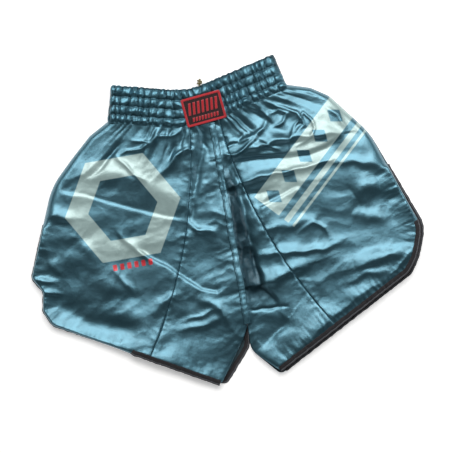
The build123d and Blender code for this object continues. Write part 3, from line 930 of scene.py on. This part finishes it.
def band_puff(s, d, front):
    """How far the gathered casing stands proud of its flat plies, and a painted shade for the low gaps
    between its gathers.
    """
    waver = 1.3 * noise(s / 8.0, d / 22.0, 56) + 0.7 * noise(s / 3.4, d / 18.0, 57)
    wavering = d + waver * smooth(0, 6, d) * smooth(0, 6, BAND - d)
    row = np.clip(wavering / ROW_PITCH, 0.0, 3.9999)
    v = (row - np.floor(row)) * 2 - 1
    puff = np.clip(1 - v * v, 0, 1) ** 0.75
    index = np.floor(row)
    slant = 3.0 * v * noise(s / 16.0, index * 1.9, 58)
    folds = pleat(s + slant, 0.30 * index + 0.15 * v, 5)
    near = pleat(s, 0.30 * row, 5)
    low = pleat(s, 4.0 + 0 * s, 5)
    foot = smooth(BAND - 9.0, BAND, d)
    near = near * (1 - foot) + low * foot
    strength = 0.8 + 0.45 * noise(s / 26.0, row * 0.8, 52)
    height = puff * 0.2 + 6.6 * folds * strength * (0.30 + 0.70 * puff)
    height += 0.35 * ridged(s / 8.0 + 0.5 * v, d / 9.0, 53) * puff
    height = height * (1 - foot) + (0.1 + 1.0 * near) * foot
    xy = band_xy(s, d) - patch_mid
    u = np.abs(xy[..., 0] * PATCH_COS + xy[..., 1] * PATCH_SIN)
    w = np.abs(-xy[..., 0] * PATCH_SIN + xy[..., 1] * PATCH_COS)
    held = (1 - smooth(27.0, 35.0, u)) * (1 - smooth(19.0, 26.0, w))
    height = height * (1 - held) + np.minimum(height, 1.2 + 0.25 * height) * held
    # The second value is painted shade: darkest in the low gaps between the gathers, lighter at the foot of
    # the band.
    return height * (0.12 + 0.88 * front), 0.85 * (1 - smooth(0.5, 2.9, height)) * (1 - 0.75 * foot)


rows_out = [("outer", d, 0.0) for d in np.linspace(BAND, 0.8, 62)]
rows_out += [("fold", 0.0, k / 6) for k in range(1, 6)]
rows_out += [("inner", d, 1.0) for d in np.linspace(0.8, BAND, 10)]
verts, uvs, shades = [], [], []
for kind, d, t in rows_out:
    s_o, z_o, nx, nz, front = outer_loop.T[:5]
    s_i, z_i = inner_loop[:, 0], inner_loop[:, 1]
    if kind == "inner":
        s, z, dd = s_i, z_i, np.full_like(s_i, d)
        shade = np.zeros_like(s_i)
    else:
        share = 0.0 if kind == "outer" else t
        blend = (1 - math.cos(math.pi * share)) / 2
        s = s_o + (s_i - s_o) * blend
        z = z_o + (z_i - z_o) * blend
        lift = 2.6 * math.sin(math.pi * share) if kind == "fold" else 0.0
        frill = 1.3 * noise(s_o / 5.0, 0.3, 55) + 1.0 * (pleat(s_o, 0.0, 5) - 0.5)
        edge = math.exp(-d / 5.0)
        dd = np.full_like(s, d) - lift - frill * edge * (1.0 if kind == "outer" else 1 - 0.3 * share)
        puff, shade = band_puff(s_o, np.full_like(s_o, max(d, 0.8)), front)
        puff = puff * (1 - blend)
        s = s + nx * puff
        z = z + nz * puff
    xy = band_xy(s, dd)
    z = np.maximum(z, 0.15)
    verts.append(to_row(xy, z))
    shades.append(shade)
    arc = np.concatenate([[0], np.cumsum(np.hypot(np.diff(s_o), np.diff(z_o)))])
    uvs.append(np.stack([arc / 1000 * 1.4, np.full_like(arc, (d if kind != "inner" else -8 - d) / 1000)], -1))
# The waistband's shade attribute carries the painted shade of the gaps between its gathers.
casing = new_mesh("waistband_gathered", np.concatenate(verts),
                  grid_faces(len(rows_out), len(outer_loop), closed_columns=True), np.concatenate(uvs),
                  satin_band, {"shade": np.concatenate(shades)})
thicken(casing, CLOTH, inside_cloth)
finish_piece(casing, "satin", "waistband_casing")

for row in range(4):
    d0 = ROW_PITCH * (row + 0.5) - ELASTIC_WIDTH / 2
    ring = []
    for depth in (1.0, 2.1):
        loop = resample(outer_loop[::4], OUTER_LEFT, OUTER_RIGHT, outer_half - depth)
        for d in ((d0, d0 + ELASTIC_WIDTH) if depth < 2 else (d0 + ELASTIC_WIDTH, d0)):
            ring.append(to_row(band_xy(loop[:, 0], np.full(len(loop), d)), loop[:, 1]))
    n = len(ring[0])
    web = new_mesh(f"elastic_webbing_{row + 1}", np.concatenate(ring),
                   grid_faces(4, n, closed_rows=True, closed_columns=True),
                   np.stack([np.tile(np.arange(n) * 0.0036, 4), np.repeat([0, 0.012, 0.012, 0], n)], -1),
                   elastic_cloth)
    finish_piece(web, "elastic", f"elastic_row_{row + 1}")


# ---------- bindings
def strip(name, line, section, height_of, material, tuck=None, seed=61):
    """Sweeps a section of (inward, up) offsets along a hem line over the cloth's height."""
    line = np.asarray(line, float)
    tangent = np.gradient(line, axis=0)
    tangent /= np.linalg.norm(tangent, axis=1)[:, None]
    normal = np.stack([-tangent[:, 1], tangent[:, 0]], -1)
    length = np.concatenate([[0], np.cumsum(np.hypot(*np.diff(line, axis=0).T))])
    if tuck is None:
        tuck = np.zeros(len(line))
    wave = 0.9 * noise(length / 9.0, 0.0, seed) + 0.4 * noise(length / 4.0, 0.0, seed + 1)
    wave = wave * smooth(0, 12, length)
    rings, uvs, across = [], [], 0.0
    last = section[0]
    for inward, up in section:
        across += math.hypot(inward - last[0], up - last[1])
        last = (inward, up)
        offset = inward + wave + 8.0 * tuck
        at = line + normal * offset[:, None]
        inner = line + normal * np.maximum(offset, 0.6)[:, None]
        z = (height_of(inner) + up) * (1 - tuck) + (3.3 + 0.5 * up) * tuck
        rings.append(to_row(at, np.maximum(z, 0.1)))
        uvs.append(np.stack([length / 1000, np.full(len(line), across / 1000)], -1))
    count = len(line)
    faces = grid_faces(len(section), count, closed_rows=True)
    faces.append(tuple(k * count for k in range(len(section))))
    faces.append(tuple(k * count + count - 1 for k in reversed(range(len(section)))))
    return new_mesh(name, np.concatenate(rings), faces, np.concatenate(uvs), material)


# The folded tape seen end on: distance in from the hem, height over the cloth.
SECTION = [(7.6, 0.25), (7.2, 0.75), (4.0, 0.95), (1.2, 1.15), (-0.9, 0.9), (-1.7, 0.0),
           (-1.2, -0.8), (0.6, -1.3), (4.0, -1.35), (7.4, -1.3), (7.6, -0.7)]


def hem_line(kind, side, with_inseam=False):
    curves = side_curves[kind, side]
    line = curves["hem"]
    if with_inseam:
        line = np.concatenate([line, curves["inseam"]])
    elif kind == "front":
        ahead = line[-1] - line[-3]
        reach = np.array([[1.8], [3.6], [5.4], [7.2], [9.0]])
        line = np.concatenate([line, line[-1] + ahead / np.linalg.norm(ahead) * reach])
    gaps = np.hypot(*np.diff(line, axis=0).T)
    return line[np.concatenate([[True], gaps > 0.3])]


def inner_sign(kind, side, line):
    """Turns the line so that its left side is the leg."""
    i = len(line) // 2
    t = line[i + 1] - line[i]
    probe = line[i] + np.array([-t[1], t[0]]) / np.linalg.norm(t) * 5
    return line if inside(probe[None], side_curves[kind, side]["poly"])[0] else line[::-1]


for kind in ("front", "back"):
    for side, name in ((-1, "right"), (1, "left")):
        line = inner_sign(kind, side, hem_line(kind, side, kind == "back" and side < 0))
        height = front_height if kind == "front" else back_height
        tuck = None
        if kind == "front":
            tuck = hidden_hem(side, to_line(line, side_curves["front", side]["hem"])[2])
        obj = strip(f"binding_{kind}_{name}", line, SECTION, lambda p, s=side, h=height: h(p, s),
                    binding_cloth, tuck, 61 + side)
        finish_piece(obj, "binding", f"hem_binding_{kind}_{name}")


# ---------- centre seams
def seam_strip(name, height_of, lift, up, thickness, replaced):
    """The felled centre seam: a narrow raised strip with two stitched grooves."""
    ys = np.arange(3.0, 336.0, 1.2)
    xs = np.linspace(-5.0, 5.0, 13)
    rows_v, uvs = [], []
    for off in xs:
        wave = 1.3 * noise(ys / 26.0, 0.4, 71)
        p = np.stack([CENTRE_X + off + wave, ys], -1)
        base = height_of(np.stack([CENTRE_X + wave * 0 + 0.01 * off, ys], -1))
        relief = lift * (1 - (abs(off) / 5.0) ** 6 * 0.8)
        relief = relief - 0.45 * math.exp(-((abs(off) - 3.4) / 0.5) ** 2) * up
        ripple = 0.25 * ridged(ys / 9.0, off / 9.0, 72) * up
        rows_v.append(to_row(p, base + relief + ripple))
        uvs.append(np.stack([ys / 1000, np.full(len(ys), (off + 5) / 1000)], -1))
    obj = new_mesh(name, np.concatenate(rows_v), grid_faces(len(xs), len(ys)), np.concatenate(uvs),
                   seam_cloth)
    thicken(obj, thickness, seam_cloth)
    finish_piece(obj, "satin", replaced)


seam_cloth = satin("satin_seam", None)
seam_strip("felled_seam_front", lambda p: (front_height(p, 1) + front_height(p, -1)) / 2,
           1.2, 1.0, CLOTH, "centre_front_seam")
seam_strip("felled_seam_back", lambda p: back_height(p, 1), 0.7, 0.4, 0.0004, "centre_back_seam")


# ---------- patch
def patch_height(u, v):
    waves = 0.9 * noise(u / 22.0, v / 20.0, 81) - 0.0006 * (u * u)
    return PATCH_Z + waves + 0.5 * noise(u / 7.0, v / 30.0, 82)


def on_patch(u, v, z):
    """Row-frame points from places along and up the patch, and their height."""
    x = patch_mid[0] + u * PATCH_COS - v * PATCH_SIN
    y = patch_mid[1] + u * PATCH_SIN + v * PATCH_COS
    return to_row(np.stack([x, y], -1), z)


def patch_base():
    grid_u, grid_v = np.meshgrid(np.linspace(-32.4, 32.4, 55), np.linspace(-22.9, 22.9, 40))
    u, v = grid_u.ravel(), grid_v.ravel()
    obj = new_mesh("patch_cloth", on_patch(u, v, patch_height(u, v)), grid_faces(*grid_u.shape),
                   np.stack([u, v], -1) / 1000, patch_cloth)
    thicken(obj, 0.0012)
    finish_piece(obj, "patch", "waistband_patch")


patch_base()

ring_v, ring_uv = [], []
cross = [(0.0, -0.6), (0.1, 0.45), (0.9, 0.95), (2.0, 1.1), (3.1, 0.95), (3.9, 0.45), (4.0, -0.2)]
corner = 3.0
path = []
for quarter, (way_u, way_v) in enumerate(((1, 1), (-1, 1), (-1, -1), (1, -1))):
    cx, cy = way_u * (PATCH_W / 2 - corner), way_v * (PATCH_H / 2 - corner)
    for k in range(6):
        t = math.radians(90 * quarter + 90 * k / 5)
        path.append((cx + corner * math.cos(t), cy + corner * math.sin(t), math.cos(t), math.sin(t)))
dense = []
for i, p in enumerate(path):
    q = path[(i + 1) % len(path)]
    steps = max(1, int(math.hypot(q[0] - p[0], q[1] - p[1]) / 1.0))
    for k in range(steps):
        f = k / steps
        dense.append([p[j] + (q[j] - p[j]) * f for j in range(4)])
dense = np.array(dense)
for inward, up in cross:
    u = dense[:, 0] - dense[:, 2] * inward
    v = dense[:, 1] - dense[:, 3] * inward
    ring_v.append(on_patch(u, v, patch_height(u, v) + up + 0.12 * np.sin(np.arange(len(u)) * 2.1)))
    ring_uv.append(np.stack([np.arange(len(u)) * 0.001, np.full(len(u), inward / 1000)], -1))
border = new_mesh("patch_embroidered_border", np.concatenate(ring_v),
                  grid_faces(len(cross), len(dense), closed_rows=True, closed_columns=True),
                  np.concatenate(ring_uv), red_thread)
finish_piece(border, "red_thread", "patch_border")

bar_v, bar_f, bar_uv = [], [], []


def raised_bar(cu, cv, w, h, lean):
    """One block of satin stitch, rounded across, on the patch."""
    nu, nv = 7, max(6, int(h / 1.2))
    start = len(bar_v)
    for j in range(nv):
        for i in range(nu):
            a, b = i / (nu - 1) * 2 - 1, j / (nv - 1) * 2 - 1
            u = cu + a * w / 2 + lean * b * h / 2
            v = cv + b * h / 2
            up = 0.15 + 0.75 * math.sqrt(max(0.0, 1 - abs(a) ** 2.6)) * (1 - abs(b) ** 12)
            at_u, at_v = np.array([u]), np.array([v])
            bar_v.append(on_patch(at_u, at_v, patch_height(at_u, at_v) + up)[0])
            bar_uv.append((v / 1000, u / 1000))
    bar_f.extend([tuple(start + k for k in f) for f in grid_faces(nv, nu)])


for i in range(7):
    raised_bar((i - 3) * 7.4, 4.6, 4.3, 20.0, 0.2)
for i in range(9):
    raised_bar((i - 4) * 5.0, -13.2, 3.4, 7.0, 0.2)
bars = new_mesh("patch_embroidered_bars", np.array(bar_v), bar_f, np.array(bar_uv), red_thread)
thicken(bars, CLOTH)
finish_piece(bars, "red_thread", "patch_motif")


# ---------- drawcord
def row_place(x, y, z):
    return (x + ROW[0]) / 1000, (y + ROW[1]) / 1000, z / 1000


def cord_points():
    mid = BAND_TOP / 2
    start_z = BAND_TOP - 3.85
    def at(side, along, down):
        return np.array(band_corner(side, along, down))
    rs, ls = at(-1, 28.0, 22.5), at(1, 76.0, 22.5)
    r0, l0 = at(-1, 10.0, 22.5), at(1, 58.0, 22.5)
    right = [(*rs, start_z), (*r0, mid), (r0[0] + 19.5, r0[1] + 0.4, mid), (r0[0] + 33.5, r0[1] + 12.0, mid),
             (r0[0] + 37.0, r0[1] + 29.0, mid)]
    left = [(*ls, start_z), (*l0, mid), (l0[0] - 18.0, l0[1] - 6.0, mid),
            (l0[0] - 30.5, l0[1] - 21.5, mid - 0.2), (l0[0] - 34.0, l0[1] - 41.0, mid - 0.5),
            (l0[0] - 29.5, l0[1] - 60.0, mid - 1.5), (l0[0] - 33.0, l0[1] - 79.5, mid - 2.2)]
    return {"right": right, "left": left}


def cord_curve(name, route):
    data = bpy.data.curves.new(name, "CURVE")
    data.dimensions = "3D"
    spline = data.splines.new("NURBS")
    spline.points.add(len(route) - 1)
    for point, (x, y, z) in zip(spline.points, route):
        point.co = (*row_place(x, y, z), 1.0)
    spline.order_u = 3
    spline.use_endpoint_u = True
    spline.resolution_u = 16
    data.bevel_depth = CORD_DIAMETER / 2
    data.bevel_resolution = 5
    data.use_fill_caps = True
    data.materials.append(cord_cloth)
    return put_in_scene(name, data)


def knot_mesh(name, route):
    """An overhand knot with a short cut end: two crossing turns of cord and a stub."""
    end, before = np.array(route[-1]), np.array(route[-2])
    axis = (end - before) / np.linalg.norm(end - before)
    across = np.cross(axis, [0, 0, 1.0])
    across /= np.linalg.norm(across)
    up = np.cross(across, axis)
    verts, faces = [], []

    def tube(path, r):
        path = np.array(path)
        t = np.gradient(path, axis=0)
        t /= np.linalg.norm(t, axis=1)[:, None]
        base = len(verts)
        for p, d in zip(path, t):
            side_v = np.cross(d, [0.3, 0.2, 0.9])
            side_v /= np.linalg.norm(side_v)
            top = np.cross(side_v, d)
            for k in range(10):
                a = 2 * math.pi * k / 10
                q = p + r * (math.cos(a) * side_v + math.sin(a) * top)
                verts.append(row_place(*q))
        faces.extend([tuple(base + i for i in f) for f in grid_faces(len(path), 10, closed_columns=True)])
        faces.append(tuple(base + k for k in reversed(range(10))))
        faces.append(tuple(base + (len(path) - 1) * 10 + k for k in range(10)))

    for start, tip, wide in ((2.2, 0.6, 3.1), (5.5, -0.5, 2.8)):
        ring = []
        for k in range(29):
            a = 2 * math.pi * k / 28
            ring.append(end + axis * (start + tip * math.cos(a)) + across * (wide * math.cos(a))
                        + up * (0.7 * wide * math.sin(a)))
        tube(ring[:-1] + [ring[0] + axis * 0.05], 1.65)
    tube([end - axis * 1.0, end + axis * 2.0, end + axis * 4.6 - across * 0.3, end + axis * 7.2,
          end + axis * 9.3 + across * 0.7], 1.75)
    return new_mesh(name, np.array(verts), faces, np.array([(v[0], v[1]) for v in verts]), cord_cloth)


for name, route in cord_points().items():
    curve = cord_curve(f"drawcord_{name}", route)
    knot = knot_mesh(f"knot_{name}", route)
    finish_piece(curve, "cord", f"drawcord_tail_{name}")
    finish_piece(knot, "cord", f"drawcord_knot_{name}")

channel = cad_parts["drawcord_in_channel"]
for material_slot in channel.material_slots:
    material_slot.material = cord_cloth

# ---------- stage, light, camera
FLOOR_SIDE = 3.0
bpy.ops.mesh.primitive_plane_add(size=1.0, location=(0, 0, 0))
floor = bpy.context.object
floor.name = "floor"
floor.scale = (FLOOR_SIDE, FLOOR_SIDE, 1)
material, tree, shader = nodes_of("pale_floor")
set_values(shader, Base_Color=(0.92, 0.92, 0.92, 1), Roughness=0.9, Specular_IOR_Level=0.1,
           Emission_Color=(1, 1, 1, 1), Emission_Strength=0.42)
floor.data.materials.append(material)

TURN = math.radians(-10.0)
aim = np.array([6.0 + ROW[0], 165.0 + ROW[1]]) / 1000
camera_data = bpy.data.cameras.new("camera")
camera = put_in_scene("camera", camera_data)
DISTANCE = 3.6
camera.location = (aim[0], aim[1], DISTANCE)
camera.rotation_euler = (0, 0, TURN)
camera_data.sensor_width = 36.0
camera_data.lens = 36.0 * (DISTANCE - 0.012) / 0.738
camera_data.clip_end = 20
bpy.context.scene.camera = camera


def area_light(name, where, target, size_x, size_y, power, colour=(1, 1, 1)):
    data = bpy.data.lights.new(name, "AREA")
    data.shape = "RECTANGLE"
    data.size, data.size_y = size_x, size_y
    data.energy = power
    data.color = colour
    obj = put_in_scene(name, data)
    obj.location = where
    direction = Vector(target) - Vector(where)
    obj.rotation_euler = direction.to_track_quat("-Z", "Y").to_euler()
    return obj


area_light("window", (0.16, 0.98, 1.75), (0, 0.0, 0), 1.9, 1.2, 46, (1.0, 0.99, 0.975))
area_light("right_soft", (1.8, -0.2, 0.9), (0, 0, 0), 0.7, 0.7, 5, (0.97, 0.99, 1.0))
area_light("front_soft", (-0.9, -2.3, 0.95), (0, 0, 0), 2.2, 0.8, 5, (0.97, 0.99, 1.0))
world = bpy.data.worlds.new("studio")
world.use_nodes = True
background = world.node_tree.nodes["Background"]
background.inputs["Color"].default_value = (0.75, 0.80, 0.84, 1)
background.inputs["Strength"].default_value = 0.02
bpy.context.scene.world = world
bpy.context.scene.view_settings.view_transform = "Standard"
